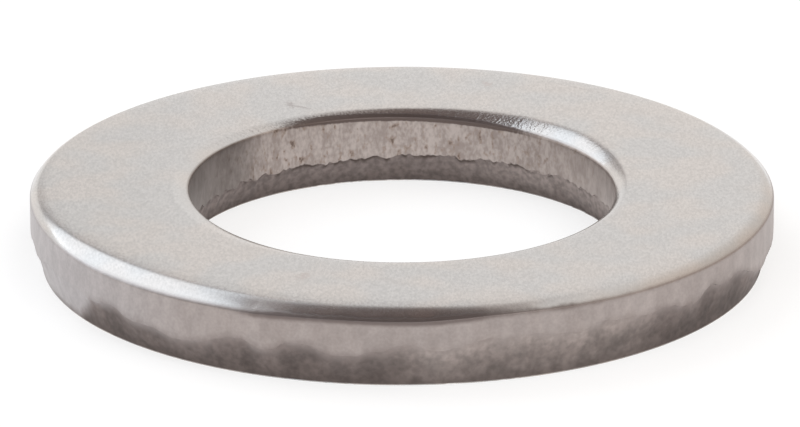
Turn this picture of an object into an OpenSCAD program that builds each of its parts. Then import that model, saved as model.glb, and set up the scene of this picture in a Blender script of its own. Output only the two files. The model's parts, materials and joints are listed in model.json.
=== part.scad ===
// Plain flat washer, punched from steel strip.
// One stroke of the die cuts the bore and the outside together, so both edges have the same build:
// a roll that dips from the top face, a straight sheared land below it, and a torn taper below that.
// Millimetres, +Z along the bore, origin in the middle of the bottom face.

/* [Washer] */
// Outside diameter, across the sheared land
outside_d = 30; // [27:0.1:36]
// Bore diameter, across the sheared land
bore_d = 17.2; // [13:0.1:20]
// Thickness of the strip
thickness = 3.1; // [2.7:0.05:5]

/* [Outside edge] */
// How far the roll reaches in across the top face
outer_roll_w = 1.2; // [0.7:0.05:1.8]
// How far the roll dips below the top face
outer_roll_d = 0.36; // [0.16:0.02:0.5]
// Height of the straight sheared land
outer_land_h = 1.15; // [0.6:0.05:1.8]
// How far the torn taper draws in by the bottom face
outer_taper = 0.45; // [0.1:0.05:0.9]

/* [Bore edge] */
// How far the roll reaches out across the top face
bore_roll_w = 1.2; // [0.5:0.05:1.5]
// How far the roll dips below the top face
bore_roll_d = 0.24; // [0.12:0.01:0.4]
// Height of the straight sheared land
bore_land_h = 1.65; // [0.8:0.05:2]
// How far the torn taper opens out by the bottom face
bore_taper = 0.35; // [0.1:0.05:0.8]

/* [Corner rounds] */
// Radius of the nose where a roll turns down into its land
nose_r = 0.12; // [0.04:0.02:0.24]
// Radius of the foot where a torn taper meets the bottom face
foot_r = 0.1; // [0.04:0.02:0.2]

/* [Hidden] */
$fn = 180;
outside_r = outside_d / 2;
bore_r = bore_d / 2;
// How far a cutting shape runs past the strip's own faces
overrun = 0.5;
// How far a round stands proud of the line that it meets, so that the two cross and don't just touch
seam = 0.0002;

// Unit vector at an angle in the plane of the section
function heading(angle) = [cos(angle), sin(angle)];

// Distance from the centre of a round to a line that it meets
function inset(r) = r - seam;

// Radius of the arc that leaves the top face level and has dipped by d after a run of w
function roll_radius(w, d) = (w * w + d * d) / (2 * d);

// What lies outside a round of radius r about c, between the headings where it meets its neighbours
module corner_waste(c, r, from, to) {
    reach = 2 * r;
    translate(c)
        difference() {
            polygon([
                [0, 0],
                reach * heading(from),
                reach * (heading(from) + heading(to)),
                reach * heading(to)
            ]);
            circle(r);
        }
}

// What the die takes off one edge of the strip, with the land on x = 0 and the strip on its left
module edge_waste(roll_w, roll_d, land_h, taper) {
    roll_r = roll_radius(roll_w, roll_d);
    roll_c = [-roll_w, thickness - inset(roll_r)];
    // The nose lies inside the roll's circle and meets it on one side and the land on the other
    nose_run = roll_w - inset(nose_r);
    nose_rise = sqrt(pow(roll_r - inset(nose_r), 2) - pow(nose_run, 2));
    nose_c = roll_c + [nose_run, nose_rise];
    roll_end = atan2(nose_rise, nose_run);
    tear_z = nose_c.y - land_h;
    lean = atan2(taper, tear_z);
    foot_c = [-taper - inset(foot_r) * tan(45 - lean / 2), inset(foot_r)];

    corner_waste(roll_c, roll_r, 90, 0);
    corner_waste(nose_c, nose_r, roll_end, 0);
    polygon([
        [0, tear_z],
        [-taper - overrun * tan(lean), -overrun],
        [overrun, -overrun],
        [overrun, tear_z]
    ]);
    corner_waste(foot_c, foot_r, -lean, -90);
}

// Section of the ring, from the bore to the outside, standing on the bottom face
module ring_section() {
    difference() {
        translate([bore_r, 0])
            square([outside_r - bore_r, thickness]);
        translate([outside_r, 0])
            edge_waste(outer_roll_w, outer_roll_d, outer_land_h, outer_taper);
        translate([bore_r, 0])
            mirror([1, 0])
                edge_waste(bore_roll_w, bore_roll_d, bore_land_h, bore_taper);
    }
}

module washer() {
    color("silver")
        rotate_extrude()
            ring_section();
}

washer();
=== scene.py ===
# %% [markdown]
# # A punched steel washer
#
# A plain washer looks like the simplest part in the drawer: a flat ring. What gives a real one away is its
# edge. The ring is knocked out of steel strip by a punch, and the stroke leaves three marks, one below
# the other: a soft roll where the strip was dragged down, a straight scuffed land where the tool sheared
# it, and a rough taper where the last of the metal tore. This lesson models that edge, and lights it so
# that it shows.

# %% Load the frame
import json
import math
from types import SimpleNamespace

import bmesh
import bpy
import numpy as np
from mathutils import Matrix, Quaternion, Vector, noise


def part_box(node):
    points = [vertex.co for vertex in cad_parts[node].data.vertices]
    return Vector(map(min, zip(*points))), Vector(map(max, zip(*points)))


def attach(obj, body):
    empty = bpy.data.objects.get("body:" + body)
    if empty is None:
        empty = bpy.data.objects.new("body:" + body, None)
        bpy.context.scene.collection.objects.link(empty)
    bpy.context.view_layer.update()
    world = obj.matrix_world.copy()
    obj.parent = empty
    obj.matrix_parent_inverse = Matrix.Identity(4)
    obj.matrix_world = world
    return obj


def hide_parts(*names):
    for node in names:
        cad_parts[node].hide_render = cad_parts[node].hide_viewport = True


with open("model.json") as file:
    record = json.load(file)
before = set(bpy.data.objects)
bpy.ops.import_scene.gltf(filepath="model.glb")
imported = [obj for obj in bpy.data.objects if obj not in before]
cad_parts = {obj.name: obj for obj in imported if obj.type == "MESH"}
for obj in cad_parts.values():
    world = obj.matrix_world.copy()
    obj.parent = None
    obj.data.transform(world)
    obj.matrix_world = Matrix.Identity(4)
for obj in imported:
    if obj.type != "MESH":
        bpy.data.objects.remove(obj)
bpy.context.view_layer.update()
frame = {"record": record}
bpy.context.scene.view_settings.view_transform = "Standard"

# %% [markdown]
# ## Sizes
#
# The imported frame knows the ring's outside, its thickness and the bore that the bolt passes through, so
# these are read from it and never typed again. The sizes of the two edges aren't stated there. They are
# named here, in metres, one set for the outside and one for the bore.

# %% Read the size of the ring
MM = 0.001


def in_mm(length):
    """A length in millimetres, rounded for printing."""
    return round(float(length) / MM, 3)


_, ring_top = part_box("washer")
bore_mount = next(m for m in frame["record"]["mounts"] if m["name"] == "bore")
outside_r = ring_top.x
thickness = ring_top.z
bore_r = bore_mount["dims"]["r_mm"] * MM
middle_r = (outside_r + bore_r) / 2
print("ring", in_mm(2 * outside_r), "mm wide and", in_mm(thickness), "mm thick")
print("bore", in_mm(2 * bore_r), "mm wide")

# %% Work out the two punched edges
nose_r = 0.12 * MM
foot_r = 0.1 * MM
ledge_in = 0.04 * MM
ledge_drop = 0.02 * MM


def punched_edge(land_r, outward, roll_w, roll_d, land_h, taper):
    """Works out the section of one edge. outward is 1 on the outside and -1 on the bore."""
    edge = SimpleNamespace(land_r=land_r, outward=outward, land_h=land_h)
    edge.roll_r = (roll_w**2 + roll_d**2) / (2 * roll_d)
    edge.roll_start = land_r - outward * roll_w
    nose_run = roll_w - nose_r
    nose_rise = math.sqrt((edge.roll_r - nose_r) ** 2 - nose_run**2)
    edge.roll_end = math.atan2(nose_rise, nose_run)
    edge.land_top = thickness - edge.roll_r + nose_rise
    edge.tear_z = edge.land_top - land_h
    edge.ledge_z = edge.tear_z - ledge_drop
    edge.lean = math.atan2(taper - ledge_in, edge.ledge_z)
    foot_run = foot_r * math.tan(math.pi / 4 - edge.lean / 2)
    edge.foot_c = land_r - outward * (taper + foot_run)
    edge.foot_top_r = edge.foot_c + outward * foot_r * math.cos(edge.lean)
    edge.foot_top_z = foot_r - foot_r * math.sin(edge.lean)
    return edge


outer_edge = punched_edge(
    outside_r, outward=1, roll_w=1.2 * MM, roll_d=0.36 * MM, land_h=1.15 * MM, taper=0.45 * MM
)
bore_edge = punched_edge(
    bore_r, outward=-1, roll_w=1.2 * MM, roll_d=0.24 * MM, land_h=1.65 * MM, taper=0.35 * MM
)
for name, edge in (("outside", outer_edge), ("bore", bore_edge)):
    print(name, "edge tears at", in_mm(edge.tear_z), "mm above the bottom face")

# %% [markdown]
# ## Camera
#
# The picture is taken from low in front with a long lens, which keeps the ring's ellipses close to
# parallel. The camera stands at a known distance from the middle of the top face, looks a little below it,
# and leans by a fifth of a degree because the ring doesn't lie quite level in the picture.

# %% Set up the camera
view_height = math.radians(19.8)
view_distance = 324 * MM
view_roll = math.radians(-0.2)
view_aim = Vector((-0.08, -0.41, 1.965)) * MM
lens_mm = 361.5
sensor_mm = 36
nearest_seen = 0.01

top_centre = Vector((0, 0, thickness))
view_back = Vector((0, -math.cos(view_height), math.sin(view_height)))
camera_data = bpy.data.cameras.new("long_lens")
camera_data.sensor_width = sensor_mm
camera_data.lens = lens_mm
camera_data.clip_start = nearest_seen
camera = bpy.data.objects.new("long_lens", camera_data)
camera.location = top_centre + view_distance * view_back
camera.rotation_mode = "QUATERNION"
aim = (view_aim - camera.location).to_track_quat("-Z", "Y")
camera.rotation_quaternion = aim @ Quaternion((0, 0, 1), view_roll)
bpy.context.scene.collection.objects.link(camera)
bpy.context.scene.camera = camera
print("camera", round(camera.location.length, 3), "m from the ring, lens", lens_mm, "mm")

# %% [markdown]
# ## Floor
#
# The washer lies on plain white card. Lit card never quite reaches white in a render, so what the camera
# and the shiny steel see of it is helped with a little glow. The rest of its brightness is still real
# light, which is what lets the washer's soft shadow show.

# %% Lay the floor
card_size = 12

bpy.ops.object.select_all(action="DESELECT")
bpy.ops.mesh.primitive_plane_add(size=card_size)
floor = bpy.context.object
floor.name = "white_card"
card = bpy.data.materials.new("white_card")
card.use_nodes = True
card_nodes = card.node_tree.nodes
card_links = card.node_tree.links
card_nodes.clear()
floor.data.materials.append(card)
print("floor", floor.dimensions.x, "m square")

# %% Tell which rays see the card
ray = card_nodes.new("ShaderNodeLightPath")
seen_directly = card_nodes.new("ShaderNodeMath")
seen_directly.operation = "MAXIMUM"
card_links.new(ray.outputs["Is Camera Ray"], seen_directly.inputs[0])
card_links.new(ray.outputs["Is Glossy Ray"], seen_directly.inputs[1])
seen = card_nodes.new("ShaderNodeMath")
seen.operation = "MAXIMUM"
card_links.new(seen_directly.outputs[0], seen.inputs[0])
card_links.new(ray.outputs["Is Transmission Ray"], seen.inputs[1])
print("card is helped for camera, glossy and transmission rays")

# %% Paint the card
card_glow = 0.64
card_lit = (0.52, 0.52, 0.52, 1)
card_plain = (0.8, 0.8, 0.8, 1)

glow = card_nodes.new("ShaderNodeEmission")
glow.inputs["Strength"].default_value = card_glow
lit = card_nodes.new("ShaderNodeBsdfDiffuse")
lit.inputs["Color"].default_value = card_lit
glowing = card_nodes.new("ShaderNodeAddShader")
card_links.new(glow.outputs[0], glowing.inputs[0])
card_links.new(lit.outputs[0], glowing.inputs[1])
plain = card_nodes.new("ShaderNodeBsdfDiffuse")
plain.inputs["Color"].default_value = card_plain
either = card_nodes.new("ShaderNodeMixShader")
card_links.new(seen.outputs[0], either.inputs["Fac"])
card_links.new(plain.outputs[0], either.inputs[1])
card_links.new(glowing.outputs[0], either.inputs[2])
card_out = card_nodes.new("ShaderNodeOutputMaterial")
card_links.new(either.outputs[0], card_out.inputs["Surface"])
print("card painted with", len(card_nodes), "nodes")

# %% [markdown]
# ## Light
#
# Bare metal has hardly any colour of its own to show: what we see in it is the room. So the light is
# planned by what each surface mirrors. The flat face mirrors the white wall low behind it, and the rolls
# sweep from that wall up to a dim brown ceiling, which draws the dark bands. The top of the wall is a
# skyline. It is low on the left of the middle, where a band should be broad, and it climbs to the right,
# where the wall is cream, so that the roll stays pale there.

# %% Paint the walls
back_wall = (1.0, 0.985, 0.965, 1)
right_wall = (0.75, 0.68, 0.62, 1)
right_wall_full = 0.6
# A Mix node has sockets for every kind of value. These are the places of the ones that mix colours.
MIX_AMOUNT, MIX_UNDER, MIX_OVER, MIX_RESULT = 0, 6, 7, 2

room = bpy.data.worlds.new("studio_room")
room.use_nodes = True
bpy.context.scene.world = room
room_nodes = room.node_tree.nodes
room_links = room.node_tree.links
looking = room_nodes.new("ShaderNodeTexCoord")
heading = room_nodes.new("ShaderNodeSeparateXYZ")
room_links.new(looking.outputs["Generated"], heading.inputs[0])
to_right = room_nodes.new("ShaderNodeMapRange")
to_right.inputs["From Max"].default_value = right_wall_full
room_links.new(heading.outputs["X"], to_right.inputs["Value"])
walls = room_nodes.new("ShaderNodeMix")
walls.data_type = "RGBA"
walls.inputs[MIX_UNDER].default_value = back_wall
walls.inputs[MIX_OVER].default_value = right_wall
room_links.new(to_right.outputs["Result"], walls.inputs[MIX_AMOUNT])
print("walls turn to cream by a heading of", right_wall_full)

# %% Draw the skyline
# Where the walls end: heading from -1 on the left to 1 on the right, and height
skyline = [
    (-1.0, 0.48),
    (-0.6, 0.34),
    (-0.3, 0.22),
    (-0.11, 0.22),
    (-0.045, 0.345),
    (0.0, 0.345),
    (0.04, 0.42),
    (0.1, 0.62),
    (0.2, 0.86),
    (0.8, 1.6),
]
# A colour ramp holds nothing above 1, so heights are stored as shares of this one
tallest = 2

along = room_nodes.new("ShaderNodeMapRange")
along.inputs["From Min"].default_value = -1
room_links.new(heading.outputs["X"], along.inputs["Value"])
wall_tops = room_nodes.new("ShaderNodeValToRGB")
tops = wall_tops.color_ramp.elements
while len(tops) < len(skyline):
    tops.new(0.5)
for top, (at, height) in zip(tops, skyline):
    share = height / tallest
    top.position = 0.5 + 0.5 * at
    top.color = (share, share, share, 1)
room_links.new(along.outputs["Result"], wall_tops.inputs["Fac"])
print("skyline has", len(tops), "points")

# %% Paint the ceiling
ceiling = (0.165, 0.127, 0.118, 1)
wall_fades_over = 0.27

climb = room_nodes.new("ShaderNodeMath")
climb.operation = "MULTIPLY_ADD"
climb.inputs[1].default_value = -tallest
room_links.new(wall_tops.outputs["Color"], climb.inputs[0])
room_links.new(heading.outputs["Z"], climb.inputs[2])
to_ceiling = room_nodes.new("ShaderNodeMapRange")
to_ceiling.interpolation_type = "SMOOTHSTEP"
to_ceiling.inputs["From Max"].default_value = wall_fades_over
room_links.new(climb.outputs[0], to_ceiling.inputs["Value"])
paint = room_nodes.new("ShaderNodeMix")
paint.data_type = "RGBA"
paint.inputs[MIX_OVER].default_value = ceiling
room_links.new(to_ceiling.outputs["Result"], paint.inputs[MIX_AMOUNT])
room_links.new(walls.outputs[MIX_RESULT], paint.inputs[MIX_UNDER])
room_links.new(paint.outputs[MIX_RESULT], room_nodes["Background"].inputs["Color"])
print("room painted with", len(room_nodes), "nodes")

# %% [markdown]
# ### Softboxes
#
# A large softbox up on the left draws the white streaks along the left of the outer roll and the right of
# the bore. A second one over the camera lights the walls that face it. Both hang level, and they are
# described by how bright they look from below, because that is what the steel mirrors.

# %% Hang the softboxes
lamp_height = 1.2
daylight = (0.89, 0.975, 1.035)


def hang_softbox(name, centre, size, turned, brightness):
    """Hangs a level softbox over the washer that looks this bright when seen from below."""
    box = bpy.data.lights.new(name, "AREA")
    box.shape = "RECTANGLE"
    box.size, box.size_y = size
    box.energy = brightness * math.pi * size[0] * size[1]
    box.color = daylight
    hung = bpy.data.objects.new(name, box)
    hung.location = (centre[0], centre[1], lamp_height)
    hung.rotation_euler.z = math.radians(turned)
    bpy.context.scene.collection.objects.link(hung)
    print(name, round(box.energy, 2), "W")


hang_softbox("key_softbox", centre=(-1.04, 1.225), size=(1.57, 1.96), turned=-10.0, brightness=1.36)
hang_softbox("front_softbox", centre=(0.0, -1.1), size=(2.6, 1.4), turned=0, brightness=1.0)

# %% [markdown]
# ## Section
#
# A washer is a turned shape, so it is drawn as one section and spun. The section starts as a single point
# on the top face. Straight stretches are extruded and round ones are spun about their own centres, down
# over the outside to the middle of the bottom face, and then the same again down through the bore. A small
# ledge is drawn where the sheared land ends, because the torn metal below it broke a little further in.

# %% Start with one point
same_point = 0.002 * MM

bpy.ops.object.select_all(action="DESELECT")
bpy.ops.mesh.primitive_plane_add(size=MM)
washer = bpy.context.object
washer.name = "punched_washer"
bpy.ops.object.mode_set(mode="EDIT")
bpy.ops.mesh.merge(type="CENTER")
bpy.ops.transform.translate(value=(middle_r, 0, thickness))


def draw_line(across, up, steps):
    """Extrudes the selected point along a straight stretch of the section."""
    stride = (across / steps, 0, up / steps)
    for _ in range(steps):
        bpy.ops.mesh.extrude_region_move(TRANSFORM_OT_translate={"value": stride})


def draw_arc(centre, turn, steps):
    """Carries the selected point round a (radius, height). A positive turn is anticlockwise."""
    middle = (centre[0], 0, centre[1])
    bpy.ops.mesh.spin(steps=steps, angle=turn, center=middle, axis=(0, 1, 0))


def pick_start():
    """Selects the point in the middle of the top face again."""
    bpy.ops.mesh.select_all(action="DESELECT")
    live = bmesh.from_edit_mesh(washer.data)
    start = Vector((middle_r, 0, thickness))
    nearest = min(live.verts, key=lambda point: (point.co - start).length)
    nearest.select_set(True)
    bmesh.update_edit_mesh(washer.data)


print("section starts", in_mm(middle_r), "mm from the axis")

# %% Draw the section
face_steps = 6
roll_steps = 10
nose_steps = 4
land_steps = 12
ledge_steps = 1
taper_steps = 15
foot_steps = 3
base_steps = 4
quarter_turn = math.pi / 2


def draw_edge(edge):
    """Draws from the middle of the top face over one edge to the middle of the bottom face."""
    side = edge.outward
    roll_c = (edge.roll_start, thickness - edge.roll_r)
    nose_c = (edge.land_r - side * nose_r, edge.land_top)
    taper_run = edge.foot_top_r - (edge.land_r - side * ledge_in)
    draw_line(edge.roll_start - middle_r, 0, face_steps)
    draw_arc(roll_c, side * (edge.roll_end - quarter_turn), roll_steps)
    draw_arc(nose_c, -side * edge.roll_end, nose_steps)
    draw_line(0, -edge.land_h, land_steps)
    draw_line(-side * ledge_in, -ledge_drop, ledge_steps)
    draw_line(taper_run, edge.foot_top_z - edge.ledge_z, taper_steps)
    draw_arc((edge.foot_c, foot_r), side * (edge.lean - quarter_turn), foot_steps)
    draw_line(middle_r - edge.foot_c, 0, base_steps)


draw_edge(outer_edge)
pick_start()
draw_edge(bore_edge)
bpy.ops.mesh.select_all(action="SELECT")
bpy.ops.mesh.remove_doubles(threshold=same_point)
bpy.ops.object.mode_set(mode="OBJECT")
print("section has", len(washer.data.vertices), "points")

# %% [markdown]
# ## Spin
#
# One full turn about the bore's axis makes the ring. The Spin tool would do it, but it is slow with this
# many steps, so a Screw modifier with no pitch turns the section and closes it on itself. The steps are
# fine, about a tenth of a millimetre at the outside, because the ragged line of the tear is cut from these
# same faces in the next step. Afterwards the normals are turned outwards.

# %% Spin the ring
spokes = 840

turn = washer.modifiers.new("turn", "SCREW")
turn.axis = "Z"
turn.angle = math.tau
turn.screw_offset = 0
turn.steps = spokes
turn.render_steps = spokes
turn.use_merge_vertices = True
turn.merge_threshold = same_point
bpy.context.view_layer.objects.active = washer
bpy.ops.object.modifier_apply(modifier="turn")
bpy.ops.object.mode_set(mode="EDIT")
bpy.ops.mesh.select_all(action="SELECT")
bpy.ops.mesh.normals_make_consistent(inside=False)
bpy.ops.object.mode_set(mode="OBJECT")
print("ring has", len(washer.data.polygons), "faces and", len(washer.data.vertices), "points")

# %% [markdown]
# ## Tear line
#
# Steel doesn't tear along a ruled line. Rounded tongues of the smooth land hang down over the break, the
# larger ones on the outside, where the tool was dullest. Round the bore the line is finer and more jagged.
# The punch didn't come down quite straight either, so the land is taller on one side than on the other. A
# knife could draw this by hand, but here the larger tongues are placed one by one, and each point of the
# wall is raised or lowered by them and by noise that closes on itself once round the ring.

# %% Measure the ring
points = np.empty(3 * len(washer.data.vertices))
washer.data.vertices.foreach_get("co", points)
points = points.reshape(-1, 3)
reach = np.hypot(points[:, 0], points[:, 1])
drawn_z = points[:, 2].copy()
spoke = np.rint(np.arctan2(points[:, 1], points[:, 0]) / math.tau * spokes).astype(int) % spokes
on_outside = reach > middle_r
spoke_angles = [math.tau * n / spokes for n in range(spokes)]
print("ring reaches from", in_mm(reach.min()), "to", in_mm(reach.max()), "mm")

# %% Place the tongues
# The larger tongues of the outside: where, in degrees from +X, half width in degrees and drop in mm.
# A drop below nothing is a notch, where the tear climbs into the land.
outer_tongues = [
    (-140, 3.0, -0.2),
    (-132, 9.5, 0.28),
    (-124, 4.5, 0.25),
    (-111, 2.6, 0.35),
    (-110, 8.5, -0.24),
    (-99, 3.6, 0.3),
    (-90, 2.5, -0.2),
    (-84.5, 1.8, 0.12),
    (-75, 7.0, -0.33),
    (-64, 3.0, 0.15),
    (-59, 8.5, -0.23),
    (-41, 4.0, 0.2),
    (-36.5, 2.5, -0.22),
    (-14, 11.0, 0.7),
]


def in_degrees(angle):
    """An angle in degrees from +X, between -180 and 180."""
    return math.degrees(math.remainder(angle, math.tau))


def hang(angle, tongue):
    """How far one tongue hangs at an angle: round at its tip and steep at its sides."""
    middle, half_width, drop = tongue
    away = in_degrees(angle - math.radians(middle))
    return drop * math.exp(-((away / half_width) ** 4))


print("placed", len(outer_tongues), "tongues and notches")

# %% Make the tear ragged


def ripple(angle, waves, seed):
    """Noise from -1 to 1 with about this many waves round the ring."""
    size = 2 * waves / math.tau
    return noise.noise(Vector((size * math.cos(angle), size * math.sin(angle), seed)))


def outer_tear(angle):
    """How far the outside tears above its drawn line: tongues, steps, a fine jag and the punch's lean."""
    tongues = sum(hang(angle, tongue) for tongue in outer_tongues)
    steps = (0.14 + 0.06 * math.sin(angle)) * math.tanh(3 * ripple(angle, waves=40, seed=3.7))
    jag = 0.05 * ripple(angle, waves=150, seed=8.1)
    lean = 0.08 + 0.25 * max(-0.6, math.cos(angle))
    return (lean + steps + jag - tongues) * MM


def bore_tear(angle):
    """How far the bore tears above its drawn line: short steps, a fine jag and the punch's lean."""
    steps = 0.07 * math.tanh(4 * ripple(angle, waves=50, seed=1.3))
    jag = 0.1 * ripple(angle, waves=130, seed=5.9)
    lean = 0.07 + 0.12 * math.cos(angle)
    return (lean + steps + jag) * MM


for name, tear in (("outside", outer_tear), ("bore", bore_tear)):
    print(name, "tears", in_mm(tear(-math.pi / 2)), "mm above its drawn line at the front")

# %% Let the top of the land rise and dip
# How far the top of the outer land stands above its drawn height: degrees from +X, and mm
outer_lift = (
    [-180, -165, -145, -120, -113, -107, -100, -92, -87, -82, -77, -70, -63, -50, -30, -10, 150, 180],
    [0.1, 0, -0.08, 0, 0, 0.08, 0.1, 0.06, 0.05, 0.13, 0.21, 0.2, 0.14, 0.08, 0.03, 0, 0, 0.1],
)


def outer_dip(angle):
    """How far the outer land's top moves: its roll is deepest front left and shallowest front right."""
    return np.interp(in_degrees(angle), *outer_lift) * MM


def bore_dip(angle):
    """The same in the bore, where the roll is deepest on the right and shallowest on the left."""
    return (0.05 * math.sin(angle) - 0.18 * min(0.7, math.cos(angle))) * MM


print("outer land lifted by up to", max(outer_lift[1]), "mm")

# %% Move the two walls
tear_height = np.empty(len(points))
land_height = np.empty(len(points))


def shift_wall(edge, wall, tear, dip):
    """Moves one wall's tear line and the top of its land, and the points between follow in proportion."""
    tear_lift = np.array([tear(angle) for angle in spoke_angles])
    top_lift = np.array([dip(angle) for angle in spoke_angles])
    wall_heights = [edge.foot_top_z, edge.ledge_z, edge.tear_z, edge.land_top]
    tear_share = np.interp(drawn_z, wall_heights, [0, 1, 1, 0])
    top_share = np.interp(drawn_z, [edge.tear_z, edge.land_top, thickness], [0, 1, 0])
    at = spoke[wall]
    points[wall, 2] += tear_share[wall] * tear_lift[at] + top_share[wall] * top_lift[at]
    tear_height[wall] = edge.tear_z + tear_lift[at]
    land_height[wall] = edge.land_top + top_lift[at]
    print("tear runs from", in_mm(tear_lift.min()), "to", in_mm(tear_lift.max()), "mm off its drawn line")


shift_wall(outer_edge, on_outside, outer_tear, outer_dip)
shift_wall(bore_edge, ~on_outside, bore_tear, bore_dip)

# %% [markdown]
# ## Rolls
#
# As the punch comes down it drags the surface of the strip with it, so the edge rolls over before it is
# cut. On this washer the outer roll has its full width at the front left. It is narrower on the right, at
# the back and at the left end, as it is when punch and die aren't quite in line. The bore's roll is widest
# at the back right, and fine nicks cross it where the tool dragged. Proportional editing could pull these
# shapes by hand. Here small functions move the same points, so every width can be read and changed.

# %% Ease the outer roll
eases_in = 0.9 * MM
sink = 0.017 * MM


def ease_outer_roll():
    """Lets the outer roll begin gently, a little inside its drawn start, as drawn-down metal does."""
    run = outside_r - outer_edge.roll_start
    before = np.clip((reach - outer_edge.roll_start) / eases_in + 1, 0, 1)
    past = np.clip(reach - outer_edge.roll_start, 0, None)
    slope = 2 * sink / eases_in
    turn_back = (sink + slope * run) / run**2
    eased = sink * before**2 + slope * past - turn_back * past**2
    on_top = on_outside & (drawn_z > outer_edge.land_top)
    points[on_top, 2] -= eased[on_top]
    print("outer roll eased by up to", in_mm(eased[on_top].max()), "mm")


ease_outer_roll()

# %% Narrow the rolls
# How much of its drawn width each roll keeps: degrees from +X, and share
outer_width = (
    [-180, -170, -160, -150, -140, -130, -95, -80, -70, -45, 0, 180],
    [0.3, 0.36, 0.52, 0.76, 0.93, 1, 0.95, 0.8, 0.62, 0.5, 0.5, 0.3],
)
bore_width = (
    [-180, -90, 0, 15, 35, 57, 87, 180],
    [0.65, 0.6, 0.45, 0.55, 0.95, 1, 0.65, 0.65],
)


def narrow_roll(edge, wall, width):
    """Draws a roll towards its land where it is narrower than drawn, and the flat face follows it."""
    roll_w = abs(edge.roll_start - edge.land_r)
    half_face = abs(middle_r - edge.land_r)
    inset = np.abs(reach - edge.land_r)
    share = np.interp(inset, [0, roll_w, roll_w + eases_in, half_face], [0, 1, 1, 0])
    degrees = np.degrees(np.arctan2(points[:, 1], points[:, 0]))
    drawn_in = roll_w * (1 - np.interp(degrees, *width)) * share
    drawn_in *= wall & (drawn_z > edge.land_top)
    points[:, :2] *= (1 + edge.outward * drawn_in / reach)[:, None]
    print("roll drawn in by up to", in_mm(drawn_in.max()), "mm")


narrow_roll(outer_edge, on_outside, outer_width)
narrow_roll(bore_edge, ~on_outside, bore_width)

# %% Nick the bore's roll
deepest_nick = 0.03 * MM


def nick_bore_roll():
    """Presses fine nicks across the bore's roll, most of them at the back, where the tool dragged."""
    rolled = ~on_outside & (reach < bore_edge.roll_start) & (drawn_z > bore_edge.land_top)
    nicks = np.array([max(0, ripple(angle, waves=260, seed=2.2)) for angle in spoke_angles])
    patchy = np.array([0.5 + ripple(angle, waves=24, seed=6.4) for angle in spoke_angles])
    to_back = np.array([max(0.2, math.sin(angle)) for angle in spoke_angles])
    nick_depth = deepest_nick * nicks * (to_back * np.clip(patchy, 0.1, 1))
    share = np.interp(reach, [bore_r, bore_edge.roll_start], [1, 0])
    points[rolled, 2] -= nick_depth[spoke[rolled]] * share[rolled]
    print("deepest nick", in_mm(nick_depth.max()), "mm")


nick_bore_roll()

# %% [markdown]
# ## Torn grain
#
# Below the tear the steel is a rough break. Real relief catches the light better than a painted one, so
# the points of the taper are pressed in by a coarse and a fine noise. They only move inwards, so the ring
# keeps its outside size. A Displace modifier could do the same, but here the noise is pressed straight
# into the points.

# %% Roughen the break
coarse_size, coarse_depth = 0.45 * MM, 0.05 * MM
fine_size, fine_depth = 0.16 * MM, 0.03 * MM
half_step = 0.005 * MM
tear_here = np.where(on_outside, outer_edge.tear_z, bore_edge.tear_z)
foot_here = np.where(on_outside, outer_edge.foot_top_z, bore_edge.foot_top_z)
is_torn = (drawn_z < tear_here - half_step) & (drawn_z > foot_here - half_step)


def grain_depth(point):
    """How deep the break is pressed in at a point, from nothing to both depths together."""
    coarse = 0.5 + 0.5 * noise.noise(point / coarse_size)
    fine = 0.5 + 0.5 * noise.noise(point / fine_size)
    return coarse_depth * coarse + fine_depth * fine


for index in np.flatnonzero(is_torn):
    inward = -1 if on_outside[index] else 1
    shrink = inward * grain_depth(Vector(points[index])) / reach[index]
    points[index, :2] *= 1 + shrink
washer.data.vertices.foreach_set("co", points.ravel())
washer.data.update()
print("pressed grain into", int(is_torn.sum()), "points")

# %% [markdown]
# ## Zones
#
# The steel is one metal, but its faces were made in different ways, so the material has to know where it
# is. Each point carries a few numbers: how far it is sheared land, how far it is roll, how many millimetres
# it lies below the tear, how much painted shade it takes under the roll, and which wall it is on. They
# are stored as attributes on the mesh, which travel with it wherever it goes.

# %% Mark the land, the rolls and the break


def mark_zone(name, share):
    """Stores one number on every point of the washer."""
    carrier = washer.data.attributes.new(name, "FLOAT", "POINT")
    carrier.data.foreach_set("value", share.astype(np.float32))
    print("zone", name, "from", round(float(share.min()), 2), "to", round(float(share.max()), 2))


# How far the land's finish runs on below the tear: degrees from +X, and mm
smear_depth = ([-180, -151, -145, 166, 180], [1.4, 1.4, 0, 0, 1.4])


def smear(angle):
    """On the far left the land's finish runs on below the tear, so the break there is as pale as the land.
    """
    return np.interp(in_degrees(angle), *smear_depth) * MM


land_top_here = np.where(on_outside, outer_edge.land_top, bore_edge.land_top)
above_land = (drawn_z - land_top_here) / nose_r
# The land's finish climbs a little further up the nose outside than in the bore
climbs_nose = np.where(on_outside, 3.0, 2.4)
land_share = np.clip(climbs_nose - 2 * above_land, 0, 1)
land_share *= drawn_z > foot_here - half_step
roll_starts = [bore_r, bore_edge.roll_start, outer_edge.roll_start, outside_r]
smeared = np.array([smear(angle) for angle in spoke_angles])[spoke] * on_outside
mark_zone("sheared", land_share)
mark_zone("rolled", np.interp(reach, roll_starts, [1, 0, 0, 1]))
mark_zone("below_tear", np.clip((tear_height - smeared - points[:, 2]) / MM, -1, 2))
mark_zone("bore_side", ~on_outside)
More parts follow.
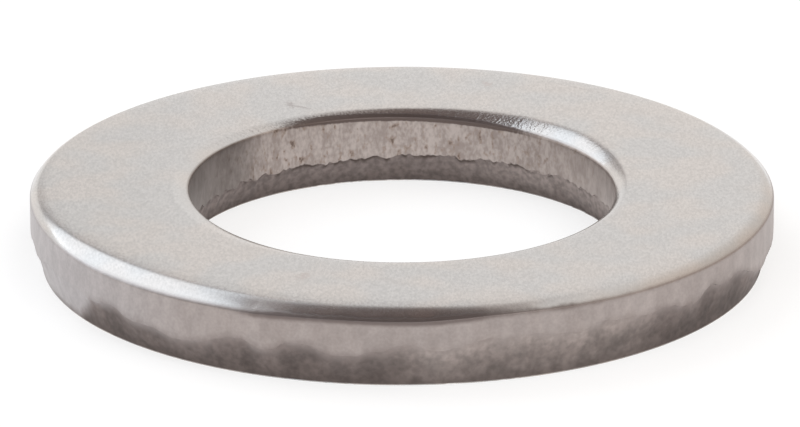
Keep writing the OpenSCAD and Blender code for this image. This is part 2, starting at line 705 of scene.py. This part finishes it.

# %% [markdown]
# ### Painted shade under the rolls
#
# A fringe of painted shade darkens the crease under a roll. On the outside it shows along the front and
# thins out to the right. In the bore it shows at the back. It starts a little way up the roll, is darkest
# on the nose, whose shine it dims, and fades out down the land.

# %% Mark the fringe
across_mm = points[:, 0] / MM
below_land_top = (land_height - points[:, 2]) / MM
roll_height = (thickness - land_height) / (thickness - land_top_here)
facing = np.interp(
    across_mm,
    [-8.2, -6.8, -5.9, -4.9, 0, 2, 3, 4, 5, 6.5, 8, 11],
    [0, 0.2, 0.6, 0.85, 0.85, 1, 0.85, 0.6, 0.45, 0.55, 0.4, 0.25],
)
at_back = np.interp(across_mm, [-6, -4.6, -2.8, 3.5, 6], [0.1, 0.5, 1, 1, 0.15])
outer_fringe_reach = np.interp(across_mm, [-1, 1.5, 4, 7], [0.36, 0.4, 0.42, 0.36])
bore_fringe_reach = 0.22
outer_fringe_fade, bore_fringe_fade = 0.24, 0.08
fringe_starts = np.where(on_outside, -outer_fringe_reach * roll_height, -bore_fringe_reach)
fringe_fades_in = np.where(on_outside, outer_fringe_fade * roll_height, bore_fringe_fade)
fringe_ends = np.where(on_outside, outer_fringe_fade, bore_fringe_fade)
fringe_shade_share = np.clip((below_land_top - fringe_starts) / fringe_fades_in, 0, 1)
fringe_shade_share *= np.clip(1.1 - below_land_top / fringe_ends, 0, 1)
# Painted shade on the nose, dimming its shine
nose_shade = np.interp(below_land_top, [-0.18, -0.1, 0.02, 0.1], [0, 0.4, 0.4, 0])
fringe_shade_share += nose_shade
fringe_shade_share *= np.where(on_outside, facing, at_back)
mark_zone("fringe", fringe_shade_share)

# %% [markdown]
# ### Smooth faces
#
# The rolls should shade as one round surface, and the ledge at the tear should stay crisp. Smoothing by
# angle does both: only edges sharper than the angle keep their crease.

# %% Smooth by angle
crease_angle = math.radians(50)

bpy.ops.object.select_all(action="DESELECT")
washer.select_set(True)
bpy.ops.object.shade_smooth_by_angle(angle=crease_angle)
print("smoothed edges below", round(math.degrees(crease_angle)), "degrees")

# %% [markdown]
# ## Steel
#
# One material wears all the finishes. Its helpers are named for what they do on the bench: a pattern makes
# cloudy marks of a given size, a fade turns a pattern into a clean mask, and a blend lays one colour or
# number over another by such a mask.

# %% Helpers that draw patterns
steel = bpy.data.materials.new("punched_steel")
steel.use_nodes = True
steel_nodes = steel.node_tree.nodes
steel_links = steel.node_tree.links


def feed(socket, value):
    """Plugs an output into a socket, or sets the socket to a plain value."""
    if isinstance(value, bpy.types.NodeSocket):
        steel_links.new(value, socket)
    else:
        socket.default_value = value


def stretch(scale):
    """The place on the washer, squeezed along each axis so that patterns stretch along it."""
    squeeze = steel_nodes.new("ShaderNodeMapping")
    feed(squeeze.inputs["Vector"], place)
    feed(squeeze.inputs["Scale"], scale)
    return squeeze.outputs["Vector"]


def pattern(size, where, detail=2.0):
    """Cloudy marks of about this size in metres, as a number near 0.5."""
    cloud = steel_nodes.new("ShaderNodeTexNoise")
    feed(cloud.inputs["Vector"], where)
    feed(cloud.inputs["Scale"], 1 / size)
    feed(cloud.inputs["Detail"], detail)
    return cloud.outputs["Fac"]


def zone(name):
    """The number that the washer's points carry under this name."""
    carried = steel_nodes.new("ShaderNodeAttribute")
    carried.attribute_name = name
    return carried.outputs["Fac"]


place = steel_nodes.new("ShaderNodeTexCoord").outputs["Object"]
axes = steel_nodes.new("ShaderNodeSeparateXYZ")
feed(axes.inputs[0], place)
rightness = axes.outputs["X"]
height_up = axes.outputs["Z"]
on_land = zone("sheared")
on_roll = zone("rolled")
on_bore = zone("bore_side")
below_tear = zone("below_tear")
print("steel starts with", len(steel_nodes), "nodes")

# %% Helpers that work with numbers
# The places of a Mix node's sockets that mix numbers
MIX_LOW, MIX_HIGH, MIX_NUMBER = 2, 3, 0


def fade(value, low, high):
    """0 below low, 1 above high and smooth between."""
    ramp = steel_nodes.new("ShaderNodeMapRange")
    ramp.interpolation_type = "SMOOTHSTEP"
    feed(ramp.inputs["Value"], value)
    feed(ramp.inputs["From Min"], low)
    feed(ramp.inputs["From Max"], high)
    return ramp.outputs["Result"]


def times(first, second):
    """The product of two numbers."""
    product = steel_nodes.new("ShaderNodeMath")
    product.operation = "MULTIPLY"
    feed(product.inputs[0], first)
    feed(product.inputs[1], second)
    return product.outputs[0]


def nudge(value, marks, amount):
    """Adds some of a pattern to a number, so that a border drawn from the number turns ragged."""
    push = steel_nodes.new("ShaderNodeMath")
    push.operation = "MULTIPLY_ADD"
    feed(push.inputs[0], marks)
    feed(push.inputs[1], amount)
    feed(push.inputs[2], value)
    return push.outputs[0]


def blend_number(amount, under, over):
    """Lays one number over another by an amount from 0 to 1."""
    mixer = steel_nodes.new("ShaderNodeMix")
    feed(mixer.inputs[MIX_AMOUNT], amount)
    feed(mixer.inputs[MIX_LOW], under)
    feed(mixer.inputs[MIX_HIGH], over)
    return mixer.outputs[MIX_NUMBER]


def by_wall(outside, bore):
    """A number that is one thing on the outside and another in the bore."""
    return blend_number(on_bore, outside, bore)


print("5 helpers work with numbers")

# %% Helpers that work with colours


def blend(amount, under, over):
    """Lays one colour over another by an amount from 0 to 1."""
    mixer = steel_nodes.new("ShaderNodeMix")
    mixer.data_type = "RGBA"
    feed(mixer.inputs[MIX_AMOUNT], amount)
    feed(mixer.inputs[MIX_UNDER], under)
    feed(mixer.inputs[MIX_OVER], over)
    return mixer.outputs[MIX_RESULT]


def shade(colour, mask, low, high):
    """Dims or lifts a colour, by low where a mask is 0 and by high where it is 1."""
    dimmer = steel_nodes.new("ShaderNodeHueSaturation")
    feed(dimmer.inputs["Value"], blend_number(mask, low, high))
    feed(dimmer.inputs["Color"], colour)
    return dimmer.outputs["Color"]


print("2 helpers work with colours")

# %% [markdown]
# ### Flat face and rolls
#
# The flat faces are as the strip mill left them, a soft satin grey, tumbled after punching. A wash of faint
# warm and cool clouds keeps the grey from looking painted. A very fine grain, drawn out a little along the
# strip, breaks up the shine, and it is polished off the rolls. At the far left the flat face is painted
# slightly darker, a painted shade.

# %% Satin faces
satin_warm = (0.64, 0.603, 0.58, 1)
satin_cool = (0.605, 0.593, 0.588, 1)
along_strip = stretch((1, 0.4, 1))
cloud_size = 2.4 * MM
grain_size = 0.09 * MM
grain_off_rolls = 0.7
flat_shade_from, flat_shade_full = -7 * MM, -12 * MM

satin_clouds = fade(pattern(cloud_size, place, detail=1.0), 0.35, 0.65)
satin_grain = fade(pattern(grain_size, along_strip, detail=2.0), 0.25, 0.75)
satin_grain = blend_number(times(on_roll, grain_off_rolls), satin_grain, 0.5)
satin = blend(satin_clouds, satin_cool, satin_warm)
satin = shade(satin, satin_grain, low=0.91, high=1.09)
# Painted shade: the flat face is darkened slightly at the far left
flat_left_shade = times(fade(rightness, flat_shade_from, flat_shade_full), fade(on_roll, 0.2, 0.0))
satin = shade(satin, flat_left_shade, low=1.0, high=0.965)
print("satin done, steel has", len(steel_nodes), "nodes")

# %% [markdown]
# ### Marks on the top face
#
# A washer from the drawer has been about. One small nick lies beside the bore at the back left, with a
# scratch running from it, a fainter scratch lies at the back right, and two rubbed spots are slightly
# brown. Each is an ellipse placed one by one, with an edge frayed by noise.

# %% Nicks and scratches
nick_grey = (0.36, 0.32, 0.315, 1)
rubbed_brown = (0.54, 0.47, 0.45, 1)
fraying_size = 0.12 * MM
fraying = pattern(fraying_size, place, detail=3.0)


def mark(x, y, long, wide, turned):
    """An ellipse on the top face, placed and sized in mm and turned in degrees: 1 inside and 0 outside."""
    spot = steel_nodes.new("ShaderNodeMapping")
    spot.vector_type = "TEXTURE"
    feed(spot.inputs["Vector"], place)
    feed(spot.inputs["Location"], (x * MM, y * MM, thickness))
    feed(spot.inputs["Rotation"], (0, 0, math.radians(turned)))
    feed(spot.inputs["Scale"], (long / 2 * MM, wide / 2 * MM, MM))
    away = steel_nodes.new("ShaderNodeVectorMath")
    away.operation = "LENGTH"
    feed(away.inputs[0], spot.outputs["Vector"])
    return fade(nudge(away.outputs["Value"], fraying, 3.5), 3.0, 1.9)


nick = mark(-4.6, 9.7, long=0.4, wide=0.8, turned=10)
nick_scratch = mark(-4.15, 9.4, long=0.8, wide=0.25, turned=-35)
faint_scratch = mark(7.5, 11.6, long=2.2, wide=0.14, turned=-32)
back_spot = mark(3.57, 12.24, long=0.45, wide=0.8, turned=20)
front_spot = mark(-3.84, -10.63, long=0.5, wide=1.0, turned=-15)
satin = blend(times(nick, 0.7), satin, nick_grey)
satin = blend(times(nick_scratch, 0.6), satin, nick_grey)
satin = blend(times(faint_scratch, 0.3), satin, nick_grey)
satin = blend(times(back_spot, 0.6), satin, rubbed_brown)
satin = blend(times(front_spot, 0.6), satin, rubbed_brown)
print("marked the top face in 5 places")

# %% [markdown]
# ### Sheared land
#
# The tool slid along the land, so it is drawn out in upright streaks. The outside was tumbled softer than
# the bore, so its streaks are broad and faint. Painted light makes the outer land paler and cooler at the
# far left and slightly paler on the right. In the bore the streaks are fine, with brown specks where bits
# of metal were picked up and dragged. Painted shade makes the bore's left side darker and its right side a
# little darker. Towards the sides of the bore, where we look along the wall, streaks and specks calm down.

# %% Streaks
broad_drag = stretch((1, 1, 0.25))
short_drag = stretch((1, 1, 0.6))
broad_streak_size = 0.8 * MM
fine_streak_size = 0.13 * MM
blotch_size = 0.5 * MM
side_from, side_full = 5 * MM, 7.5 * MM

to_side = fade(times(rightness, rightness), side_from**2, side_full**2)
broad_streaks = pattern(broad_streak_size, broad_drag, detail=1.0)
fine_streaks = pattern(fine_streak_size, short_drag, detail=4.0)
fine_streaks = blend_number(times(to_side, 0.6), fine_streaks, 0.5)
streaks = by_wall(broad_streaks, fine_streaks)
blotches = pattern(blotch_size, short_drag, detail=2.0)
print("streaks done, steel has", len(steel_nodes), "nodes")

# %% Outer land
outer_pale = (0.42, 0.37, 0.353, 1)
outer_dull = (0.365, 0.317, 0.3, 1)
outer_painted_light = (0.475, 0.445, 0.447, 1)
left_light_from, left_light_full = -7 * MM, -14 * MM
right_light_from, right_light_full = 4 * MM, 10 * MM

outer_land = blend(fade(broad_streaks, 0.2, 0.8), outer_dull, outer_pale)
# Painted light: the outer land is paler and cooler at the far left, and slightly paler on the right
outer_land = blend(fade(rightness, left_light_from, left_light_full), outer_land, outer_painted_light)
outer_land = shade(outer_land, fade(rightness, right_light_from, right_light_full), low=0.97, high=1.05)
outer_land = shade(outer_land, fade(blotches, 0.3, 0.7), low=0.94, high=1.06)
outer_land = shade(outer_land, fade(fraying, 0.3, 0.7), low=0.95, high=1.05)
print("outer land done, steel has", len(steel_nodes), "nodes")

# %% Bore land
bore_pale = (0.54, 0.476, 0.448, 1)
bore_dull = (0.37, 0.315, 0.292, 1)
halo_brown = (0.33, 0.25, 0.205, 1)
speck_dark = (0.17, 0.125, 0.105, 1)
speck_size = 0.24 * MM
bore_shade_from, bore_shade_full = -5.3 * MM, -7.0 * MM
bore_right_from, bore_right_full = 1 * MM, 6 * MM

mixed_streaks = blend_number(0.45, fine_streaks, blotches)
bore_land = blend(fade(mixed_streaks, 0.36, 0.64), bore_dull, bore_pale)
specks = pattern(speck_size, stretch((1, 1, 0.7)), detail=5.0)
speckled = blend_number(to_side, 1.0, 0.3)
halos = times(fade(specks, 0.53, 0.66), times(speckled, 0.6))
hearts = times(fade(specks, 0.63, 0.72), times(speckled, 0.85))
bore_land = blend(halos, bore_land, halo_brown)
bore_land = blend(hearts, bore_land, speck_dark)
# Painted shade: the bore's land is darkened on its left side, and a little on its right
bore_land = shade(bore_land, fade(rightness, bore_shade_from, bore_shade_full), low=1.0, high=0.51)
to_bore_right = fade(rightness, bore_right_from, bore_right_full)
bore_land = shade(bore_land, to_bore_right, low=1.0, high=0.89)
print("bore land done, steel has", len(steel_nodes), "nodes")

# %% [markdown]
# ### Broken metal
#
# The break is a darker brown grey, mottled by its own grain, paler right of the middle, and darkest towards
# the bottom face. A painted shadow runs just under the tear, where the land's ledge overhangs the break,
# dark in the bore and faint on the outside. The border with the land is frayed, sharp in the bore and soft
# on the tumbled outside.

# %% Colour of the break
break_pale = (0.41, 0.358, 0.337, 1)
break_plain = (0.245, 0.207, 0.196, 1)
break_dark = (0.155, 0.127, 0.118, 1)
mottle_size = 0.25 * MM
lump_size = 0.9 * MM
pale_from, pale_full = -1.5 * MM, 1.5 * MM
pale_fades, pale_ends = 8 * MM, 11 * MM
low_from, low_full = 0.6 * MM, 0.1 * MM

mottle = pattern(mottle_size, place, detail=3.0)
lumps = pattern(lump_size, place, detail=2.0)
# The break is painted paler right of the middle
paler_right_outside = times(fade(rightness, pale_from, pale_full), fade(rightness, pale_ends, pale_fades))
break_paler_right = by_wall(paler_right_outside, times(to_bore_right, 0.6))
broken = blend(break_paler_right, break_plain, break_pale)
deep = fade(nudge(below_tear, lumps, 1.2), 0.7, 1.8)
broken = blend(times(deep, blend_number(break_paler_right, 0.85, 0.6)), broken, break_dark)
broken = shade(broken, fade(lumps, 0.35, 0.65), low=by_wall(0.8, 1.0), high=1.15)
lowest = times(fade(height_up, low_from, low_full), 0.6)
broken = blend(lowest, broken, break_dark)
mottle_here = blend_number(by_wall(0.6, 1.0), 0.5, fade(mottle, 0.3, 0.7))
broken = shade(broken, mottle_here, low=0.8, high=1.2)
print("break done, steel has", len(steel_nodes), "nodes")

# %% Border of the break
tear_shadow_dark = (0.07, 0.05, 0.042, 1)
patch_size = 0.45 * MM

patches = fade(pattern(patch_size, place, detail=3.0), 0.42, 0.58)
# Painted shadow: a dark line just under the tear, where the land's ledge overhangs the break
tear_shadow = times(fade(below_tear, 0.25, 0.05), patches)
tear_shadow = times(tear_shadow, by_wall(0.2, blend_number(to_side, 0.75, 0.4)))
broken = blend(tear_shadow, broken, tear_shadow_dark)
fray = nudge(below_tear, mottle, 0.25)
fray = nudge(fray, lumps, by_wall(0.5, 0.0))
fray_starts = by_wall(0.05, 0.09)
fray_ends = by_wall(0.8, 0.17)
torn = fade(fray, fray_starts, fray_ends)
print("border done, steel has", len(steel_nodes), "nodes")

# %% [markdown]
# ### One metal
#
# Now the finishes are laid over one another: the land and its break on the walls, satin everywhere else,
# and the fringe of painted shade over both, with its edge dripping down the streaks. Roughness follows the
# same masks.
# The satin is the shiniest, and the break scatters most. The fringe roughens later than it darkens, so
# that no pale line shows at its rim. A faint bump adds the streaks and the drag marks, which are finer
# than the mesh.

# %% Lay the colours together
outer_fringe_shade = (0.2, 0.165, 0.155, 1)
bore_fringe_shade = (0.16, 0.126, 0.116, 1)
drip_size = 0.12 * MM

drips = by_wall(blotches, pattern(drip_size, short_drag, detail=2.0))
fringe = fade(nudge(zone("fringe"), drips, 0.8), by_wall(0.6, 0.7), by_wall(1.6, 1.3))
# The fringe's colour is painted shade under the roll
fringe_shade_colour = blend(on_bore, outer_fringe_shade, bore_fringe_shade)
walls_steel = blend(torn, blend(on_bore, outer_land, bore_land), broken)
colour = blend(fringe, blend(on_land, satin, walls_steel), fringe_shade_colour)
finish = steel_nodes["Principled BSDF"]
feed(finish.inputs["Metallic"], 1.0)
feed(finish.inputs["Base Color"], colour)
print("colours laid, steel has", len(steel_nodes), "nodes")

# %% Set the shine and the relief
flat_roughness, roll_roughness = 0.21, 0.18
land_roughness, break_roughness = 0.42, 0.65
fringe_roughness = 0.42
relief_depth = 0.006 * MM
drag_mark_size = 0.12 * MM
long_drag = stretch((1, 1, 0.08))

satin_roughness = blend_number(fade(on_roll, 0, 0.3), flat_roughness, roll_roughness)
wall_roughness = blend_number(torn, land_roughness, break_roughness)
roughness = blend_number(on_land, satin_roughness, wall_roughness)
roughness = blend_number(times(fringe, fringe), roughness, fringe_roughness)
feed(finish.inputs["Roughness"], roughness)
drag_marks = pattern(drag_mark_size, long_drag, detail=1.0)
drag_marks = times(times(times(drag_marks, on_roll), on_bore), 2.0)
relief = steel_nodes.new("ShaderNodeBump")
feed(relief.inputs["Height"], blend_number(on_land, drag_marks, streaks))
feed(relief.inputs["Strength"], 1.0)
feed(relief.inputs["Distance"], relief_depth)
feed(finish.inputs["Normal"], relief.outputs["Normal"])
washer.data.materials.append(steel)
print("steel has", len(steel_nodes), "nodes")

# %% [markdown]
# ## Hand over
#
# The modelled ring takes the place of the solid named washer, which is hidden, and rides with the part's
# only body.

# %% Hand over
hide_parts("washer")
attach(washer, "root")
triangles = sum(len(face.vertices) - 2 for face in washer.data.polygons)
print("washer has", triangles, "triangles")
